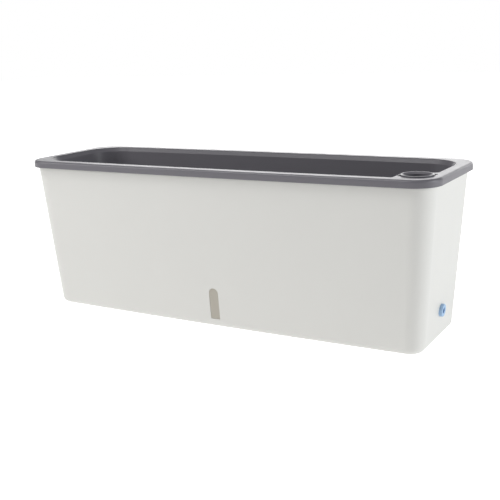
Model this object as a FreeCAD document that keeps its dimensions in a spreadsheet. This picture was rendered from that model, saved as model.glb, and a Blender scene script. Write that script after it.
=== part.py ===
"""Self-watering planter box: a white outer shell holds the water, and a grey planting liner hangs in it.

Frame: millimetres, +Z up, origin on the ground under the middle of the box. +X runs along the box, towards
the end with the drain plug, and -Y faces the front, where the water-level window is.
"""

import math
import os
import re

import FreeCAD, Part
import Sketcher
from FreeCAD import Placement, Rotation, Vector

DIMENSIONS = {
    # whole box, measured over the liner's rim
    "overall_length": 600, "overall_width": 188, "overall_height": 214, "bow_radius": 11250,
    # outer shell
    "shell_top": 210.7, "shell_top_length": 588.5, "shell_top_width": 176.5, "shell_top_corner": 26,
    "shell_base_length": 559, "shell_base_width": 145, "shell_base_corner": 19,
    "shell_wall": 2.5, "shell_floor": 5, "shell_base_fillet": 9, "shell_inner_fillet": 2.5,
    "collar_bottom": 201.9, "collar_proud": 0.5, "lip_height": 3, "lip_proud": 2.2,
    "recess_inset": 17, "recess_corner": 8, "recess_depth": 2.5, "base_rib_width": 3, "base_rib_height": 2,
    "base_rib_pitch": 104, "base_rib_count": 5,
    # water-level window in the front wall
    "window_width": 14, "window_height": 43, "window_bottom": 12, "window_gap": 0.1, "window_recess": 0.3,
    "window_corner": 1.5,
    "seal_border": 3, "seal_thickness": 1, "flange_border": 9, "flange_overlap": 4, "flange_thickness": 2,
    "flange_corner": 3, "window_seat_gap": 0.02, "stake_size": 2.6, "stake_head": 4.6,
    "stake_head_height": 1, "stake_inset": 3, "stake_rise": 4, "stake_gap": 0.1,
    # drain hole and plug in the right end wall
    "drain_height": 39.5, "drain_hole": 11, "drain_boss": 19, "drain_boss_height": 2.5,
    "plug_head": 16, "plug_head_length": 4, "plug_shank": 10.9, "plug_tip": 9.4, "plug_shank_length": 13,
    "plug_recess": 7.4, "plug_recess_depth": 11, "plug_seat_gap": 0.05, "plug_edge": 0.8,
    # planting liner
    "rim_height": 9.3, "rim_width": 14, "rim_plate": 3.2, "rim_skirt": 2.4, "rim_corner": 32,
    "rim_inner_corner": 46, "rim_shoulder": 3, "rim_drop": 0.8,
    "band_bottom": 208, "band_inset": 2.5, "band_corner": 43.5,
    "liner_bottom": 62, "liner_floor": 2.5, "liner_wall": 2.2,
    "liner_floor_length": 547.4, "liner_floor_width": 134.8, "liner_floor_corner": 30,
    # filling shaft in the liner's corner, and the collar that lines its mouth
    "port_x": 268.5, "port_y": -53, "boss_size": 42.6, "boss_plate": 6, "front_wing": 2, "end_wing": 8,
    "port_room_corner": 20,
    "wing_floor": 3, "shaft_wing": 2, "seat_size": 40.6, "seat_depth": 1.8, "port_hole": 34.8,
    "finger_notch": 8, "finger_notch_depth": 2.4, "finger_notch_reach": 19.5, "finger_notch_angle": 32,
    "collar_size": 34, "collar_bore": 30, "collar_length": 44, "collar_flange": 39,
    "collar_flange_height": 3.1, "collar_lip": 1.8, "collar_dish": 2.2, "collar_lead": 3,
    "collar_lead_width": 0.6, "collar_seat_gap": 0.05, "collar_edge": 0.4,
    # wicking baskets in the liner's floor
    "basket_pitch": 128, "basket_flange": 60, "basket_flange_height": 2, "basket_top": 50, "basket_tip": 40,
    "basket_bottom": 10, "basket_wall": 1.8, "basket_slot_width": 4, "basket_slot_height": 32,
    "basket_slot_bottom": 8, "basket_slots": 10, "basket_hole": 5, "basket_hole_circle": 22,
    "basket_holes": 6, "basket_seat_gap": 0.05, "basket_socket_gap": 0.4,
    # air and drain holes in the liner's floor
    "air_hole": 6, "air_row": 48, "air_first": -240, "air_run": 480, "air_count": 13,
    # how far a cut or a rib runs past the surface it meets
    "run_past": 1,
}
BASKETS = 4
CLOSE = 1e-3

doc = FreeCAD.newDocument("planter")
sheet = doc.addObject("Spreadsheet::Sheet", "dims")
for row, (alias, value) in enumerate(DIMENSIONS.items(), start=1):
    sheet.set(f"A{row}", alias)
    sheet.set(f"B{row}", str(value))
    sheet.setAlias(f"B{row}", alias)
doc.recompute()


# ---- small helpers -----------------------------------------------------------------------------

def named(text):
    """An expression in the sheet's aliases, with each alias written as dims.alias."""
    return re.sub(r"\b[a-z]\w*", lambda word: f"dims.{word[0]}" if word[0] in DIMENSIONS else word[0], text)


def number(text):
    """The value that an expression in the sheet's aliases has now."""
    value = sheet.evalExpression(named(text))
    return float(getattr(value, "Value", value))


def bind(thing, **sizes):
    """Ties properties of a document object to expressions in the sheet's aliases."""
    for name, text in sizes.items():
        thing.setExpression(name.replace("__", "."), named(text))


def between(low, high, height, low_z, high_z):
    """The expression for a size that runs evenly from low at low_z to high at high_z, taken at height."""
    return f"(({low}) + (({high}) - ({low})) * (({height}) - ({low_z})) / (({high_z}) - ({low_z})))"


def new_body(label, x="0"):
    body = doc.addObject("PartDesign::Body", label)
    body.Label = label
    bind(body, Placement__Base__x=x)
    return body


def origin_plane(body, role):
    return next(f for f in body.Origin.OriginFeatures if f.Role == role)


def new_sketch(body, name, role="XY_Plane", height="0"):
    """A sketch on one of the body's origin planes, moved along the plane's normal."""
    sketch = body.newObject("Sketcher::SketchObject", name)
    sketch.AttachmentSupport = [(origin_plane(body, role), "")]
    sketch.MapMode = "FlatFace"
    sketch.AttachmentOffset = Placement(Vector(0, 0, number(height)), Rotation())
    bind(sketch, AttachmentOffset__Base__z=height)
    return sketch


def leaning_sketch(body, name, role, reach, tilt, depth):
    """A sketch in the plane of a leaning wall, which stands at reach along the plane's normal at the ground
    and is tilted about the sketch's X. The sketch lies depth inside the wall, measured square to it."""
    sketch = new_sketch(body, name, role)
    off = {"y": f"({depth}) * sin({tilt})", "z": f"{reach} - ({depth}) * cos({tilt})"}
    base = Vector(0, number(off["y"]), number(off["z"]))
    sketch.AttachmentOffset = Placement(base, Rotation(Vector(1, 0, 0), number(tilt)))
    bind(sketch, AttachmentOffset__Base__y=off["y"], AttachmentOffset__Base__z=off["z"],
         AttachmentOffset__Rotation__Angle=tilt)
    return sketch


def size(sketch, *constraint, to):
    """Adds a dimension to a sketch and ties it to an expression."""
    index = sketch.addConstraint(Sketcher.Constraint(*constraint, number(to)))
    sketch.setExpression(f"Constraints[{index}]", named(to))


def circle(sketch, diameter, x="0", y="0"):
    """A dimensioned circle in a sketch."""
    centre = Vector(number(x), number(y), 0)
    g = sketch.addGeometry(Part.Circle(centre, Vector(0, 0, 1), number(diameter) / 2), False)
    size(sketch, "Diameter", g, to=diameter)
    for kind, place in (("DistanceX", x), ("DistanceY", y)):
        size(sketch, kind, -1, 1, g, 3, to=place)


def feature(body, kind, name, **links):
    made = body.newObject(f"PartDesign::{kind}", name)
    for key, value in links.items():
        setattr(made, key, value)
    return made


def pad(body, name, sketch, length, **options):
    made = feature(body, "Pad", name, Profile=sketch, **options)
    bind(made, Length=length)
    doc.recompute()
    return made


def pocket(body, name, sketch, length, **options):
    """A pocket that must take something away, because one that points off the solid raises no error."""
    before = body.Shape.Volume
    made = feature(body, "Pocket", name, Profile=sketch, **options)
    bind(made, Length=length)
    doc.recompute()
    if body.Shape.Volume > before - CLOSE:
        raise RuntimeError(f"{body.Label}: {name} cuts nothing")
    return made


def loft(body, kind, name, first, last):
    made = feature(body, kind, name, Profile=first, Sections=[last], Ruled=True)
    doc.recompute()
    return made


def edges_where(body, test):
    """The names of the tip's edges that pass the test, which is given each edge."""
    return [f"Edge{i}" for i, edge in enumerate(body.Tip.Shape.Edges, start=1) if test(edge)]


def level(edge, z):
    return all(abs(v.Z - z) < CLOSE for v in edge.Vertexes)


def fillet(body, name, test, radius):
    made = feature(body, "Fillet", name, Base=(body.Tip, edges_where(body, test)))
    bind(made, Radius=radius)
    doc.recompute()
    return made


# ---- outlines ----------------------------------------------------------------------------------

def corner_centre(a, b, r, big):
    """Centre of a corner of radius r that touches the end line x = a and the bowed side of radius big."""
    return Vector(a - r, (b - big) + math.sqrt((big - r) ** 2 - (a - r) ** 2), 0)


def arc(centre, radius, start, end):
    """An arc from the angle of one point about the centre to the angle of another, anticlockwise."""
    angles = [math.atan2(p.y - centre.y, p.x - centre.x) for p in (start, end)]
    return Part.ArcOfCircle(Part.Circle(centre, Vector(0, 0, 1), radius), *angles)


def outline(sketch, length, width, corner, notch=None):
    """Draws a rounded rectangle whose long sides bow outwards. A notch leaves out the front right corner
    around the filling shaft: its reach is the shaft's radius, and its wings are the radii where it meets
    the two walls."""
    a, b, r, big = number(length) / 2, number(width) / 2, number(corner), number("bow_radius")
    back, front = Vector(0, b - big, 0), Vector(0, big - b, 0)
    right = corner_centre(a, b, r, big)
    left = Vector(-right.x, right.y, 0)
    low_left, low_right = -right, Vector(right.x, -right.y, 0)

    def touch(centre, big_centre):
        return big_centre + (centre - big_centre).normalize() * big

    if notch:
        reach, wing, end_wing = [number(notch[w]) for w in ("reach", "front_wing", "end_wing")]
        port = Vector(number("port_x"), number("port_y"), 0)
        near = corner_centre(port.x - reach, b, wing, big)
        near.y = -near.y
        far = Vector(a - end_wing, port.y + reach + end_wing, 0)
        near_end, port_side = Vector(port.x - reach, near.y, 0), Vector(port.x - reach, port.y, 0)
        port_top, far_start = Vector(port.x, port.y + reach, 0), Vector(far.x, port.y + reach, 0)
        far_end = Vector(a, far.y, 0)
        first = [arc(front, big, touch(low_left, front), touch(near, front)),
                 arc(near, wing, touch(near, front), near_end),
                 Part.LineSegment(near_end, port_side), arc(port, reach, port_top, port_side),
                 Part.LineSegment(port_top, far_start), arc(far, end_wing, far_start, far_end),
                 Part.LineSegment(far_end, Vector(a, right.y, 0))]
    else:
        first = [arc(front, big, touch(low_left, front), touch(low_right, front)),
                 arc(low_right, r, touch(low_right, front), Vector(a, low_right.y, 0)),
                 Part.LineSegment(Vector(a, low_right.y, 0), Vector(a, right.y, 0))]
    rest = [arc(right, r, Vector(a, right.y, 0), touch(right, back)),
            arc(back, big, touch(right, back), touch(left, back)),
            arc(left, r, touch(left, back), Vector(-a, left.y, 0)),
            Part.LineSegment(Vector(-a, left.y, 0), Vector(-a, low_left.y, 0)),
            arc(low_left, r, Vector(-a, low_left.y, 0), touch(low_left, front))]
    start = sketch.GeometryCount
    for piece in first + rest:
        sketch.addGeometry(piece, False)
    count = len(first) + len(rest)
    shaft = start + 3 if notch else None
    for i in range(count):
        here, after = start + i, start + (i + 1) % count
        out_end, in_end = (1 if here == shaft else 2), (2 if after == shaft else 1)
        sketch.addConstraint(Sketcher.Constraint("Tangent", here, out_end, after, in_end))
    side = start + len(first) - 1
    ends = (side, side + 4)
    bows = (start, side + 2)
    corners = [side + 1, side + 3, side + 5] + ([] if notch else [start + 1])
    for g in ends:
        sketch.addConstraint(Sketcher.Constraint("Vertical", g))
    size(sketch, "DistanceX", -1, 1, ends[0], 1, to=f"({length}) / 2")
    size(sketch, "DistanceX", ends[1], 1, -1, 1, to=f"({length}) / 2")
    for g in corners:
        size(sketch, "Radius", g, to=corner)
    for g, order in ((bows[0], (-1, 1, bows[0], 3)), (bows[1], (bows[1], 3, -1, 1))):
        size(sketch, "Radius", g, to="bow_radius")
        sketch.addConstraint(Sketcher.Constraint("PointOnObject", g, 3, -2))
        size(sketch, "DistanceY", *order, to=f"bow_radius - ({width}) / 2")
    if notch:
        sketch.addConstraint(Sketcher.Constraint("Vertical", start + 2))
        sketch.addConstraint(Sketcher.Constraint("Horizontal", start + 4))
        size(sketch, "Radius", shaft, to=notch["reach"])
        size(sketch, "DistanceX", -1, 1, shaft, 3, to="port_x")
        size(sketch, "DistanceY", -1, 1, shaft, 3, to="port_y")
        size(sketch, "Radius", start + 1, to=notch["front_wing"])
        size(sketch, "Radius", start + 5, to=notch["end_wing"])
    return sketch


def outline_sketch(body, name, height, length, width, corner, notch=None):
    return outline(new_sketch(body, name, height=height), length, width, corner, notch)


def arch(sketch, width, bottom, top, corner):
    """Draws an upright slot with a round top and rounded lower corners, centred on the sketch's Y axis."""
    w, low, high, r = number(width) / 2, number(bottom), number(top), number(corner)
    crown = Vector(0, high - w, 0)
    left, right = Vector(-w + r, low + r, 0), Vector(w - r, low + r, 0)
    pieces = [Part.LineSegment(Vector(left.x, low, 0), Vector(right.x, low, 0)),
              arc(right, r, Vector(right.x, low, 0), Vector(w, right.y, 0)),
              Part.LineSegment(Vector(w, right.y, 0), Vector(w, crown.y, 0)),
              arc(crown, w, Vector(w, crown.y, 0), Vector(-w, crown.y, 0)),
              Part.LineSegment(Vector(-w, crown.y, 0), Vector(-w, left.y, 0)),
              arc(left, r, Vector(-w, left.y, 0), Vector(left.x, low, 0))]
    start = sketch.GeometryCount
    for piece in pieces:
        sketch.addGeometry(piece, False)
    for i in range(len(pieces)):
        after = start + (i + 1) % len(pieces)
        sketch.addConstraint(Sketcher.Constraint("Tangent", start + i, 2, after, 1))
    sketch.addConstraint(Sketcher.Constraint("Horizontal", start))
    size(sketch, "DistanceY", -1, 1, start, 1, to=bottom)
    size(sketch, "DistanceX", -1, 1, start + 2, 1, to=f"({width}) / 2")
    size(sketch, "DistanceY", -1, 1, start + 3, 3, to=f"({top}) - ({width}) / 2")
    size(sketch, "Radius", start + 3, to=f"({width}) / 2")
    sketch.addConstraint(Sketcher.Constraint("PointOnObject", start + 3, 3, -2))
    for g in (start + 1, start + 5):
        size(sketch, "Radius", g, to=corner)


def frame_rectangle(sketch, width, bottom, top):
    """Draws an upright rectangle centred on the sketch's Y axis."""
    w, low, high = number(width) / 2, number(bottom), number(top)
    points = [Vector(-w, low, 0), Vector(w, low, 0), Vector(w, high, 0), Vector(-w, high, 0)]
    start = sketch.GeometryCount
    for i in range(4):
        sketch.addGeometry(Part.LineSegment(points[i], points[(i + 1) % 4]), False)
        sketch.addConstraint(Sketcher.Constraint("Horizontal" if i % 2 == 0 else "Vertical", start + i))
    for i in range(4):
        sketch.addConstraint(Sketcher.Constraint("Coincident", start + i, 2, start + (i + 1) % 4, 1))
    size(sketch, "DistanceX", start, 1, -1, 1, to=f"({width}) / 2")
    size(sketch, "DistanceX", -1, 1, start, 2, to=f"({width}) / 2")
    size(sketch, "DistanceY", -1, 1, start, 1, to=bottom)
    size(sketch, "DistanceY", -1, 1, start + 2, 1, to=top)


def turned_profile(sketch, points):
    """Draws a closed profile of straight lines through (radius, height) pairs of expressions."""
    corners = [Vector(number(x), number(y), 0) for x, y in points]
    count = len(corners)
    for i in range(count):
        sketch.addGeometry(Part.LineSegment(corners[i], corners[(i + 1) % count]), False)
    for i in range(count):
        sketch.addConstraint(Sketcher.Constraint("Coincident", i, 2, (i + 1) % count, 1))
    for i, (x, y) in enumerate(points):
        size(sketch, "DistanceX", -1, 1, i, 1, to=x)
        size(sketch, "DistanceY", -1, 1, i, 1, to=y)


# ---- outer shell -------------------------------------------------------------------------------

FRONT_TILT = "atan((shell_top_width - shell_base_width) / 2 / shell_top)"
END_TILT = "atan((shell_top_length - shell_base_length) / 2 / shell_top)"
WALL_TOP = "window_bottom + window_height"


def shell_size(what, height):
    return between(f"shell_base_{what}", f"shell_top_{what}", height, "0", "shell_top")


def make_outer_shell():
    """Drafted box with a rounded foot, a turned-out lip, the window slot and the drain hole."""
    body = new_body("outer_shell")
    measures = ("length", "width", "corner")
    base = outline_sketch(body, "base_outline", "0", *[f"shell_base_{w}" for w in measures])
    top = outline_sketch(body, "top_outline", "shell_top", *[f"shell_top_{w}" for w in measures])
    loft(body, "AdditiveLoft", "walls", base, top)
    for name, low, proud, height in (
        ("collar", "collar_bottom", "collar_proud", "shell_top - lip_height - collar_bottom"),
        ("lip", "shell_top - lip_height", "lip_proud", "lip_height"),
    ):
        grown = [f"{shell_size(w, low)} + 2 * {proud}" for w in ("length", "width")]
        edge = outline_sketch(body, f"{name}_outline", low, *grown, f"shell_top_corner + {proud}")
        pad(body, name, edge, height)
    fillet(body, "foot_rounding", lambda e: level(e, 0), "shell_base_fillet")

    inner = [f"{shell_size(w, 'shell_floor')} - 2 * shell_wall" for w in ("length", "width")]
    floor_line = outline_sketch(body, "floor_outline", "shell_floor", *inner,
                                "shell_base_corner - shell_wall")
    mouth = [f"shell_top_{w} - 2 * shell_wall" for w in ("length", "width")]
    mouth_line = outline_sketch(body, "mouth_outline", "shell_top", *mouth, "shell_top_corner - shell_wall")
    loft(body, "SubtractiveLoft", "reservoir", floor_line, mouth_line)
    floor_z = number("shell_floor")
    fillet(body, "reservoir_rounding", lambda e: level(e, floor_z), "shell_inner_fillet")
    shell_base(body)
    shell_window(body)
    shell_drain(body)
    return body


def shell_base(body):
    """The foot ring, left by a recess under the floor, with cross ribs that stop short of the ground."""
    recess = [f"shell_base_{w} - 2 * recess_inset" for w in ("length", "width")]
    pocket(body, "foot_recess", outline_sketch(body, "recess_outline", "0", *recess, "recess_corner"),
           "recess_depth", Reversed=True)
    rib = new_sketch(body, "rib_outline", height="recess_depth")
    reach = "(shell_base_width / 2 - recess_inset + run_past)"
    frame_rectangle(rib, "base_rib_width", f"-{reach}", reach)
    first = pad(body, "rib", rib, "base_rib_height", Reversed=True)
    for name, direction in (("ribs_right", False), ("ribs_left", True)):
        row = feature(body, "LinearPattern", name, Originals=[first])
        row.Direction = (origin_plane(body, "X_Axis"), [""])
        row.Reversed = direction
        bind(row, Length="base_rib_pitch * (base_rib_count - 1) / 2",
             Occurrences="(base_rib_count + 1) / 2")
        body.Tip = row
        doc.recompute()


def window_sketch(body, name, depth):
    """A sketch in the plane of the front wall's outer face, moved inwards by depth."""
    return leaning_sketch(body, name, "XZ_Plane", "shell_base_width / 2", FRONT_TILT, depth)


SEAL_BACK = "shell_wall + window_seat_gap + seal_thickness"
FLANGE_LOW, FLANGE_HIGH = "(window_bottom - flange_overlap)", f"({WALL_TOP} + flange_overlap)"
STAKES_AT = [(f"{side} * (window_width / 2 + flange_border - stake_inset)", height) for side in (-1, 1)
             for height in (f"{FLANGE_LOW} + stake_rise", f"{FLANGE_HIGH} - stake_rise")]


def shell_window(body):
    """The window slot, and the stakes inside it that hold the lens."""
    slot = window_sketch(body, "window_outline", "0")
    arch(slot, "window_width", "window_bottom", WALL_TOP, "window_corner")
    pocket(body, "window_slot", slot, "2 * shell_wall")
    stakes = window_sketch(body, "stake_circles", "shell_wall / 2")
    heads = window_sketch(body, "stake_head_circles", f"{SEAL_BACK} + flange_thickness + window_seat_gap")
    for x, y in STAKES_AT:
        circle(stakes, "stake_size", x, y)
        circle(heads, "stake_head", x, y)
    pad(body, "stakes", stakes, f"{SEAL_BACK} - shell_wall / 2 + flange_thickness + stake_head_height / 2",
        Reversed=True)
    pad(body, "stake_heads", heads, "stake_head_height", Reversed=True)


def drain_sketch(body, name, depth):
    """A sketch in the plane of the right end wall's outer face, moved inwards by depth."""
    return leaning_sketch(body, name, "YZ_Plane", "shell_base_length / 2", END_TILT, depth)


def shell_drain(body):
    """The drain hole, with a thick ring inside to give the plug something to grip."""
    ring = drain_sketch(body, "drain_boss_circle", "shell_wall / 2")
    circle(ring, "drain_boss", y="drain_height")
    pad(body, "drain_boss_ring", ring, "shell_wall / 2 + drain_boss_height", Reversed=True)
    hole = drain_sketch(body, "drain_circle", "-run_past")
    circle(hole, "drain_hole", y="drain_height")
    pocket(body, "drain_bore", hole, "shell_wall + drain_boss_height + 3 * run_past")


# ---- window and drain plug ---------------------------------------------------------------------

def make_window_lens():
    """Clear insert: a raised block fills the slot and a flange behind it lies on the seal."""
    body = new_body("window_lens")
    face = window_sketch(body, "face_outline", "window_recess")
    arch(face, "window_width - 2 * window_gap", "window_bottom + window_gap", f"{WALL_TOP} - window_gap",
         "window_corner - window_gap")
    pad(body, "face_block", face, f"{SEAL_BACK} + flange_thickness / 2 - window_recess", Reversed=True)
    flange = window_sketch(body, "flange_outline", SEAL_BACK)
    frame_rectangle(flange, "window_width + 2 * flange_border", FLANGE_LOW, FLANGE_HIGH)
    pad(body, "flange", flange, "flange_thickness", Reversed=True)
    edge_x, thickness = number("window_width / 2 + flange_border"), number("flange_thickness")
    fillet(body, "flange_corners", lambda e: abs(abs(e.CenterOfMass.x) - edge_x) < CLOSE
           and abs(e.Length - thickness) < CLOSE, "flange_corner")
    holes = window_sketch(body, "stake_holes", "shell_wall")
    for x, y in STAKES_AT:
        circle(holes, "stake_size + 2 * stake_gap", x, y)
    pocket(body, "stake_clearance", holes, "2 * (seal_thickness + flange_thickness)")
    fillet(body, "face_rounding", on_lens_face, "window_recess")
    return body


def on_lens_face(edge):
    """Whether an edge lies in the lens's outer face."""
    tilt = math.radians(number(FRONT_TILT))
    outward = Vector(0, -math.cos(tilt), -math.sin(tilt))
    face_at = Vector(0, -number("shell_base_width / 2"), 0) - outward * number("window_recess")
    return all(abs((v.Point - face_at).dot(outward)) < CLOSE for v in edge.Vertexes)


def make_window_seal():
    """Soft gasket between the shell's inner face and the lens's flange."""
    body = new_body("window_seal")
    ring = window_sketch(body, "seal_outline", "shell_wall + window_seat_gap")
    arch(ring, "window_width + 2 * seal_border", "window_bottom - seal_border", f"{WALL_TOP} + seal_border",
         "window_corner + seal_border")
    arch(ring, "window_width", "window_bottom", WALL_TOP, "window_corner")
    pad(body, "seal_ring", ring, "seal_thickness", Reversed=True)
    return body


def make_drain_plug():
    """Hollow rubber stopper: a round head on the wall and a tapered shank in the drain hole."""
    body = new_body("drain_plug")
    taper = "atan((plug_shank - plug_tip) / 2 / plug_shank_length)"
    head = drain_sketch(body, "head_circle", "-plug_seat_gap")
    circle(head, "plug_head", y="drain_height")
    pad(body, "head", head, "plug_head_length")
    shank = drain_sketch(body, "shank_circle", "-plug_seat_gap")
    circle(shank, "plug_shank", y="drain_height")
    tapered = pad(body, "shank", shank, "plug_shank_length", Reversed=True)
    bind(tapered, TaperAngle=f"-{taper}")
    doc.recompute()
    mouth = drain_sketch(body, "recess_circle", "-(plug_seat_gap + plug_head_length)")
    circle(mouth, "plug_recess", y="drain_height")
    pocket(body, "recess", mouth, "plug_recess_depth")
    rounds = [number(f"{alias} / 2") for alias in ("plug_head", "plug_recess")]
    outer_half = max(v.X for v in body.Tip.Shape.Vertexes) - number("plug_head_length") / 2
    fillet(body, "head_rounding", lambda e: e.Curve.TypeId == "Part::GeomCircle"
           and e.CenterOfMass.x > outer_half and min(abs(e.Curve.Radius - r) for r in rounds) < CLOSE,
           "plug_edge")
    return body


# ---- liner -------------------------------------------------------------------------------------

REACH = "boss_size / 2"
SOIL_TOP = {"length": "(overall_length - 2 * rim_width)", "width": "(overall_width - 2 * rim_width)"}
TOP_NOTCH = {"reach": REACH, "front_wing": "front_wing", "end_wing": "end_wing"}
FLOOR_NOTCH = {"reach": REACH, "front_wing": "wing_floor", "end_wing": "wing_floor"}
SHAFT_REACH = f"({REACH} - liner_wall)"
SHAFT_NOTCH = {"reach": SHAFT_REACH, "front_wing": "shaft_wing", "end_wing": "shaft_wing"}


def make_inner_liner():
    """Planting tub with a rolled rim, a filling shaft outside one corner and sockets for the baskets."""
    body = new_body("inner_liner")
    band = {w: f"{SOIL_TOP[w]} - 2 * band_inset" for w in SOIL_TOP}
    floor_top = "liner_bottom + liner_floor"
    skirt_z = "overall_height - rim_height"

    def outside(height):
        soil = [between(f"liner_floor_{w}", band[w], height, floor_top, "band_bottom") for w in SOIL_TOP]
        return [f"{across} + 2 * liner_wall" for across in soil]

    under = outline_sketch(body, "underside_outline", "liner_bottom", *outside("liner_bottom"),
                           "liner_floor_corner + liner_wall", SHAFT_NOTCH)
    upper = outline_sketch(body, "wall_top_outline", skirt_z, *outside(skirt_z), "band_corner + liner_wall",
                           SHAFT_NOTCH)
    loft(body, "AdditiveLoft", "walls", under, upper)
    liner_rim(body, skirt_z)
    liner_rim_underside(body, skirt_z)

    floor_line = outline_sketch(body, "soil_floor_outline", floor_top, "liner_floor_length",
                                "liner_floor_width", "liner_floor_corner", FLOOR_NOTCH)
    band_line = outline_sketch(body, "band_outline", "band_bottom", *band.values(), "band_corner",
                               TOP_NOTCH)
    loft(body, "SubtractiveLoft", "soil_space", floor_line, band_line)
    drop = "overall_height - rim_drop"
    low_band = outline_sketch(body, "band_foot_outline", "band_bottom", *band.values(), "band_corner",
                              TOP_NOTCH)
    high_band = outline_sketch(body, "band_head_outline", drop, *SOIL_TOP.values(), "rim_inner_corner",
                               TOP_NOTCH)
    loft(body, "SubtractiveLoft", "bevel_band", low_band, high_band)
    mouth = outline_sketch(body, "mouth_outline", "overall_height", *SOIL_TOP.values(), "rim_inner_corner",
                           TOP_NOTCH)
    pocket(body, "mouth", mouth, "rim_drop")
    liner_port(body)
    liner_floor(body, floor_top)
    return body


def liner_rim(body, skirt_z):
    """The rim: a flat top over a straight skirt, with a well rounded shoulder between them."""
    rim = outline_sketch(body, "rim_outline", skirt_z, "overall_length", "overall_width", "rim_corner")
    pad(body, "rim", rim, "rim_height")
    top_z = number("overall_height")
    fillet(body, "rim_shoulder_rounding", lambda e: level(e, top_z), "rim_shoulder")


def liner_rim_underside(body, skirt_z):
    """Hollows the rim from below: a channel for the shell's lip, and the room under the filling port."""
    channel = new_sketch(body, "channel_outline", height=skirt_z)
    outline(channel, *[f"overall_{w} - 2 * rim_skirt" for w in SOIL_TOP], "rim_corner - rim_skirt")
    outline(channel, *[f"{across} + 2 * liner_wall" for across in SOIL_TOP.values()],
            "rim_inner_corner + liner_wall")
    pocket(body, "lip_channel", channel, "rim_height - rim_plate", Reversed=True)
    room = new_sketch(body, "port_room_outline", height=skirt_z)
    port_room(room)
    pocket(body, "port_room", room, "rim_height - boss_plate", Reversed=True)


def port_room(sketch):
    """Draws the corner of the liner's wall line that the filling shaft takes up."""
    reach = SHAFT_REACH
    a, b = [number(f"{across} / 2 + liner_wall") for across in SOIL_TOP.values()]
    r, big = number("port_room_corner"), number("bow_radius")
    corner = corner_centre(a, b, r, big)
    corner.y = -corner.y
    port = Vector(number("port_x"), number("port_y"), 0)
    left, top = port.x - number(reach), port.y + number(reach)
    front = Vector(0, big - b, 0)
    meet = Vector(left, front.y - math.sqrt(big ** 2 - left ** 2), 0)
    touch = front + (corner - front).normalize() * big
    pieces = [arc(front, big, meet, touch), arc(corner, r, touch, Vector(a, corner.y, 0)),
              Part.LineSegment(Vector(a, corner.y, 0), Vector(a, top, 0)),
              Part.LineSegment(Vector(a, top, 0), Vector(port.x, top, 0)),
              arc(port, number(reach), Vector(port.x, top, 0), Vector(left, port.y, 0)),
              Part.LineSegment(Vector(left, port.y, 0), meet)]
    for piece in pieces:
        sketch.addGeometry(piece, False)
    for i, kind in enumerate(("Tangent", "Tangent", "Coincident", "Tangent", "Tangent", "Coincident")):
        sketch.addConstraint(Sketcher.Constraint(kind, i, 2, (i + 1) % len(pieces), 1))
    for kind, g in (("Vertical", 2), ("Horizontal", 3), ("Vertical", 5)):
        sketch.addConstraint(Sketcher.Constraint(kind, g))
    size(sketch, "DistanceX", -1, 1, 2, 1, to=f"{SOIL_TOP['length']} / 2 + liner_wall")
    size(sketch, "Radius", 1, to="port_room_corner")
    size(sketch, "Radius", 0, to="bow_radius")
    sketch.addConstraint(Sketcher.Constraint("PointOnObject", 0, 3, -2))
    size(sketch, "DistanceY", -1, 1, 0, 3, to=f"bow_radius - ({SOIL_TOP['width']} / 2 + liner_wall)")
    size(sketch, "Radius", 4, to=reach)
    size(sketch, "DistanceX", -1, 1, 4, 3, to="port_x")
    size(sketch, "DistanceY", -1, 1, 4, 3, to="port_y")


def liner_port(body):
    """The seat and hole for the filling collar, and two notches beside the seat for fingertips."""
    for name, height, diameter, depth in (
        ("port_seat", "overall_height", "seat_size", "seat_depth"),
        ("port_hole", "overall_height - seat_depth", "port_hole", "boss_plate"),
    ):
        ring = new_sketch(body, f"{name}_circle", height=height)
        circle(ring, diameter, "port_x", "port_y")
        pocket(body, f"{name}_cut", ring, depth)
    notches = new_sketch(body, "finger_notch_circles", height="overall_height")
    for side in (-1, 1):
        reach = f"{side} * finger_notch_reach"
        circle(notches, "finger_notch", f"port_x + {reach} * cos(finger_notch_angle * 1deg)",
               f"port_y + {reach} * sin(finger_notch_angle * 1deg)")
    pocket(body, "finger_notches", notches, "finger_notch_depth")


def liner_floor(body, floor_top):
    """The basket sockets, and two rows of air and drain holes beside them."""
    sockets = new_sketch(body, "socket_circles", height=floor_top)
    for i in range(BASKETS):
        circle(sockets, "basket_top + 2 * basket_socket_gap", basket_x(i), "0")
    pocket(body, "sockets", sockets, "2 * liner_floor")
    pair = new_sketch(body, "air_circles", height=floor_top)
    for side in ("-air_row", "air_row"):
        circle(pair, "air_hole", "air_first", side)
    first = pocket(body, "air_holes", pair, "2 * liner_floor")
    row = feature(body, "LinearPattern", "air_hole_rows", Originals=[first])
    row.Direction = (origin_plane(body, "X_Axis"), [""])
    bind(row, Length="air_run", Occurrences="air_count")
    body.Tip = row
    doc.recompute()


# ---- filling collar and wicking baskets --------------------------------------------------------

def revolve(body, name, sketch):
    made = feature(body, "Revolution", name, Profile=sketch, Angle=360)
    made.ReferenceAxis = (origin_plane(body, "Z_Axis"), [""])
    doc.recompute()
    return made


def make_fill_collar():
    """Turned ring with a dished top and a short tube under it, which lines the mouth of the shaft."""
    body = new_body("fill_collar", "port_x")
    bind(body, Placement__Base__y="port_y",
         Placement__Base__z="overall_height - seat_depth + collar_seat_gap")
    section = new_sketch(body, "collar_section", "XZ_Plane")
    turned_profile(section, [
        ("collar_bore / 2", "-collar_length"),
        ("collar_size / 2 - collar_lead_width", "-collar_length"),
        ("collar_size / 2", "-collar_length + collar_lead"),
        ("collar_size / 2", "0"),
        ("collar_flange / 2", "0"),
        ("collar_flange / 2", "collar_flange_height"),
        ("collar_flange / 2 - collar_lip", "collar_flange_height"),
        ("collar_bore / 2", "collar_flange_height - collar_dish")])
    revolve(body, "turned_ring", section)
    top = number("collar_flange_height")
    fillet(body, "ring_rounding", lambda e: level(e, top), "collar_edge")
    return body


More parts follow.
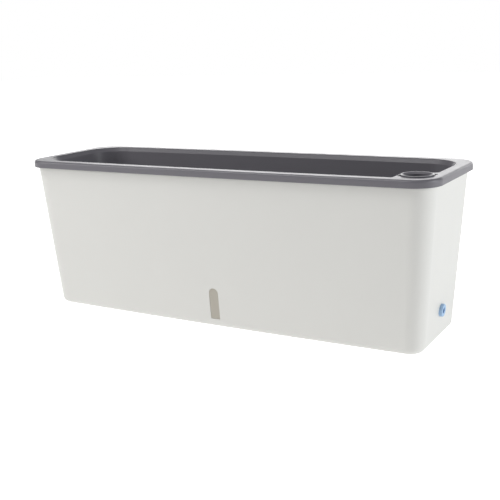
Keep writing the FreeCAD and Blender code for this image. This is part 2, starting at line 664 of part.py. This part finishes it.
def basket_x(index):
    return f"basket_pitch * {index - (BASKETS - 1) / 2}"


def make_wick_basket(index):
    """Slotted cup that hangs in the water, so that the soil in it draws water up into the liner."""
    body = new_body(f"wick_basket_{index + 1}", basket_x(index))
    bind(body, Placement__Base__z="liner_bottom + liner_floor + basket_seat_gap")
    deep = "(liner_bottom + liner_floor - basket_bottom)"
    section = new_sketch(body, "basket_section", "XZ_Plane")
    turned_profile(section, [
        ("0", f"-{deep}"),
        ("basket_tip / 2", f"-{deep}"),
        ("basket_top / 2", "0"),
        ("basket_flange / 2", "0"),
        ("basket_flange / 2", "basket_flange_height"),
        ("basket_top / 2 - basket_wall", "basket_flange_height"),
        ("basket_tip / 2 - basket_wall", f"-{deep} + basket_wall"),
        ("0", f"-{deep} + basket_wall")])
    revolve(body, "turned_cup", section)
    low = f"-{deep} + basket_slot_bottom"
    slot = new_sketch(body, "slot_outline", "XZ_Plane")
    frame_rectangle(slot, "basket_slot_width", low, f"{low} + basket_slot_height")
    side_slot = pocket(body, "side_slot", slot, "basket_top")
    hole = new_sketch(body, "floor_hole_circle", height=f"-{deep}")
    circle(hole, "basket_hole", "basket_hole_circle / 2", "0")
    floor_hole = pocket(body, "floor_hole", hole, "2 * basket_wall", Reversed=True)
    for name, original, count in (
        ("slot_ring", side_slot, "basket_slots"),
        ("floor_hole_ring", floor_hole, "basket_holes"),
    ):
        ring = feature(body, "PolarPattern", name, Originals=[original], Angle=360)
        ring.Axis = (origin_plane(body, "Z_Axis"), [""])
        bind(ring, Occurrences=count)
        body.Tip = ring
        doc.recompute()
    return body


# ---- build, check and write --------------------------------------------------------------------

def check(bodies):
    """Stops the build if any object failed to compute, or any sub-part isn't sound."""
    doc.recompute()
    for thing in doc.Objects:
        if {"Invalid", "Error"} & set(thing.State):
            raise RuntimeError(f"{thing.Label} ({thing.Name}) failed: {thing.State}")
    for body in bodies:
        if body.Shape.isNull() or not body.Shape.isValid() or not body.Shape.Solids:
            raise RuntimeError(f"{body.Label} is not a sound solid")
        box = body.Shape.BoundBox
        spans = ((box.XMin, box.XMax), (box.YMin, box.YMax), (box.ZMin, box.ZMax))
        print(f"{body.Label}: {len(body.Shape.Solids)} solid,",
              ", ".join(f"{axis} {low:.1f}..{high:.1f}" for axis, (low, high) in zip("xyz", spans)))


bodies = [make_outer_shell(), make_window_seal(), make_window_lens(), make_drain_plug(), make_inner_liner(),
          make_fill_collar()] + [make_wick_basket(i) for i in range(BASKETS)]
check(bodies)
os.makedirs("parts", exist_ok=True)
for body in bodies:
    body.Shape.exportStep(f"parts/{body.Label}.step")
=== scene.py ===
"""Self-watering planter on a white studio floor: camera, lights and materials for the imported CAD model."""

import math

import bpy
from mathutils import Matrix, Vector

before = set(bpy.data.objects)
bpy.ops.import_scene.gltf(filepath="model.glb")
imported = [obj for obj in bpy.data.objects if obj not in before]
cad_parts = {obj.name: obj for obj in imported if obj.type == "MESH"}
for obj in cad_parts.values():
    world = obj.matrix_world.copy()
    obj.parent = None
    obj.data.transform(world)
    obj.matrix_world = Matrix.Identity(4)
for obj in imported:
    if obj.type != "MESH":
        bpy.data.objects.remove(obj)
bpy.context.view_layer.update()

# ---- camera -------------------------------------------------------------------------------------

# in metres, degrees and millimetres
CAMERA_PLACE = (0.5857, -0.9776, 0.3698)
CAMERA_YAW, CAMERA_DIP, CAMERA_ROLL = 30.337, 13.853, -2.0886
CAMERA_LENS, SENSOR_WIDTH = 61.307, 36.0


def make_camera():
    """The camera stands off the front right corner, looks slightly down and is rolled a little."""
    data = bpy.data.cameras.new("camera")
    data.lens = CAMERA_LENS
    data.sensor_width = SENSOR_WIDTH
    camera = bpy.data.objects.new("camera", data)
    bpy.context.scene.collection.objects.link(camera)
    turn = Matrix.Rotation(math.radians(CAMERA_YAW), 4, "Z")
    tilt = Matrix.Rotation(math.radians(90 - CAMERA_DIP), 4, "X")
    roll = Matrix.Rotation(math.radians(CAMERA_ROLL), 4, "Z")
    camera.matrix_world = Matrix.Translation(CAMERA_PLACE) @ turn @ tilt @ roll
    bpy.context.scene.camera = camera


# ---- materials ----------------------------------------------------------------------------------

PLASTIC_IOR = 1.49
# features per metre
CLOUD_SCALE, GLOSS_SCALE, RIPPLE_SCALE = 9, 38, 26
RIPPLE_HEIGHT, RIPPLE_STRENGTH = 0.00012, 0.6
GRAIN_STRENGTH = 0.8

# name: (darker colour, lighter colour, roughness range, grains per metre, grain height in metres)
FINISHES = {
    "shell_white": ((0.77, 0.765, 0.735), (0.79, 0.785, 0.755), (0.3, 0.42), 700, 0.00002),
    "liner_grey": ((0.16, 0.154, 0.173), (0.176, 0.17, 0.19), (0.25, 0.35), 1300, 0.00003),
    "collar_grey": ((0.16, 0.154, 0.173), (0.176, 0.17, 0.19), (0.25, 0.35), 1300, 0.00002),
    "basket_grey": ((0.035, 0.035, 0.037), (0.042, 0.042, 0.044), (0.45, 0.6), 1100, 0.00003),
    "window_clear": ((0.6, 0.56, 0.48), (0.65, 0.61, 0.53), (0.3, 0.4), 900, 0.00001),
    "seal_white": ((0.7, 0.7, 0.68), (0.74, 0.74, 0.72), (0.5, 0.6), 900, 0.00001),
    "plug_blue": ((0.36, 0.55, 0.8), (0.4, 0.59, 0.84), (0.34, 0.46), 900, 0.00001),
    "studio_paper": ((0.54, 0.54, 0.54), (0.56, 0.56, 0.56), (0.85, 0.95), 400, 0.00002),
}
WINDOW_TRANSMISSION = 0.25

# the finish of each node, the baskets apart
FINISH_OF = {
    "outer_shell": "shell_white",
    "inner_liner": "liner_grey",
    "fill_collar": "collar_grey",
    "window_lens": "window_clear",
    "window_seal": "seal_white",
    "drain_plug": "plug_blue",
}


def noise(tree, scale, detail):
    """A noise texture in the object's own coordinates, with scale features per metre."""
    place = tree.nodes.new("ShaderNodeTexCoord")
    texture = tree.nodes.new("ShaderNodeTexNoise")
    texture.inputs["Scale"].default_value = scale
    texture.inputs["Detail"].default_value = detail
    tree.links.new(place.outputs["Object"], texture.inputs["Vector"])
    return texture.outputs["Fac"]


def ramp(tree, fac, low, high):
    """Maps a 0 to 1 value onto the range from low to high."""
    node = tree.nodes.new("ShaderNodeMapRange")
    node.inputs["To Min"].default_value = low
    node.inputs["To Max"].default_value = high
    tree.links.new(fac, node.inputs["Value"])
    return node.outputs["Result"]


def tint(tree, fac, dark, light):
    """Mixes between two colours by a 0 to 1 value."""
    node = tree.nodes.new("ShaderNodeMix")
    node.data_type = "RGBA"
    # the node has one set of sockets for each data type, and these are the colour ones
    factor, dark_socket, light_socket = (node.inputs[i] for i in (0, 6, 7))
    dark_socket.default_value = (*dark, 1)
    light_socket.default_value = (*light, 1)
    tree.links.new(fac, factor)
    return node.outputs[2]


def bump(tree, shader, height, distance, strength, under=None):
    """Gives a shader a bump distance metres high, on top of the bump under it."""
    node = tree.nodes.new("ShaderNodeBump")
    node.inputs["Strength"].default_value = strength
    node.inputs["Distance"].default_value = distance
    tree.links.new(height, node.inputs["Height"])
    if under:
        tree.links.new(under, node.inputs["Normal"])
    tree.links.new(node.outputs["Normal"], shader.inputs["Normal"])
    return node.outputs["Normal"]


def plastic(name):
    """A moulded finish: faintly clouded colour, uneven gloss, and a fine grain over slow ripples."""
    dark, light, roughness, grain, grain_height = FINISHES[name]
    material = bpy.data.materials.new(name)
    material.use_nodes = True
    tree = material.node_tree
    shader = tree.nodes["Principled BSDF"]
    tree.links.new(tint(tree, noise(tree, CLOUD_SCALE, 3), dark, light), shader.inputs["Base Color"])
    tree.links.new(ramp(tree, noise(tree, GLOSS_SCALE, 4), *roughness), shader.inputs["Roughness"])
    ripples = bump(tree, shader, noise(tree, RIPPLE_SCALE, 1), RIPPLE_HEIGHT, RIPPLE_STRENGTH)
    bump(tree, shader, noise(tree, grain, 2), grain_height, GRAIN_STRENGTH, ripples)
    shader.inputs["IOR"].default_value = PLASTIC_IOR
    return material, shader


def dress(node, material):
    """Gives a CAD node one material all over."""
    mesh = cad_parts[node].data
    mesh.materials.clear()
    mesh.materials.append(material)


def dress_all():
    for node, finish in FINISH_OF.items():
        material, shader = plastic(finish)
        if finish == "window_clear":
            shader.inputs["Transmission Weight"].default_value = WINDOW_TRANSMISSION
        dress(node, material)
    basket_material, _ = plastic("basket_grey")
    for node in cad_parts:
        if node.startswith("wick_basket"):
            dress(node, basket_material)


# ---- studio -------------------------------------------------------------------------------------

WORLD_LIGHT = 0.15
FLOOR_GLOW = 0.6
FLOOR_SIZE = 14
FLOOR_GAP = 0.0002
MIDDLE = (0, 0, 0.1)
LEFT_HALF = (-0.2, 0, 0.1)
WHITE, WARM, COOL = (1, 1, 1), (1, 1, 0.98), (0.95, 0.98, 1)
# name: (place, aim, size, power in watts, colour)
SOFTBOXES = {
    "left_softbox": ((-1.5, -1.2, 0.9), LEFT_HALF, (0.8, 0.6), 8.5, WARM),
    "key_softbox": ((-0.7, -0.9, 1.9), MIDDLE, (1.4, 1.0), 17.5, WHITE),
    "right_softbox": ((2.3, 0.5, 0.7), MIDDLE, (1.6, 1.4), 25, COOL),
    "top_softbox": ((0.1, -0.3, 2.4), MIDDLE, (2.0, 1.2), 5, WHITE),
    "back_softbox": ((-0.6, 3.0, 0.6), MIDDLE, (4.0, 1.2), 36, WHITE),
    "back_left_softbox": ((-3.5, 2.2, 0.5), MIDDLE, (2.0, 1.0), 11, WHITE),
}


def area_light(name, place, aim, size, power, colour):
    """A rectangular softbox at place, facing aim."""
    data = bpy.data.lights.new(name, "AREA")
    data.shape = "RECTANGLE"
    data.size, data.size_y = size
    data.energy = power
    data.color = colour
    light = bpy.data.objects.new(name, data)
    bpy.context.scene.collection.objects.link(light)
    facing = (Vector(aim) - Vector(place)).to_track_quat("-Z", "Y").to_matrix().to_4x4()
    light.matrix_world = Matrix.Translation(place) @ facing


def white_for_camera(tree, light, socket):
    """Sets a strength to full white where the camera sees it, and to light where it lights the object."""
    path = tree.nodes.new("ShaderNodeLightPath")
    tree.links.new(ramp(tree, path.outputs["Is Camera Ray"], light, 1.0), socket)


def make_world():
    """A white surround, as in a light tent."""
    world = bpy.data.worlds.new("studio")
    bpy.context.scene.world = world
    world.use_nodes = True
    background = world.node_tree.nodes["Background"]
    background.inputs["Color"].default_value = (*WHITE, 1)
    white_for_camera(world.node_tree, WORLD_LIGHT, background.inputs["Strength"])


def make_floor():
    """A glowing white floor, a hair under the foot ring so that the two faces don't flicker."""
    bpy.ops.mesh.primitive_plane_add(size=FLOOR_SIZE, location=(0, 0, -FLOOR_GAP))
    floor = bpy.context.object
    floor.name = "studio_floor"
    paper, shader = plastic("studio_paper")
    shader.inputs["Emission Color"].default_value = (*WHITE, 1)
    white_for_camera(paper.node_tree, FLOOR_GLOW, shader.inputs["Emission Strength"])
    floor.data.materials.append(paper)


def make_studio():
    bpy.context.scene.view_settings.view_transform = "Standard"
    make_world()
    make_floor()
    for name, setting in SOFTBOXES.items():
        area_light(name, *setting)


# ---- build --------------------------------------------------------------------------------------

make_camera()
make_studio()
dress_all()
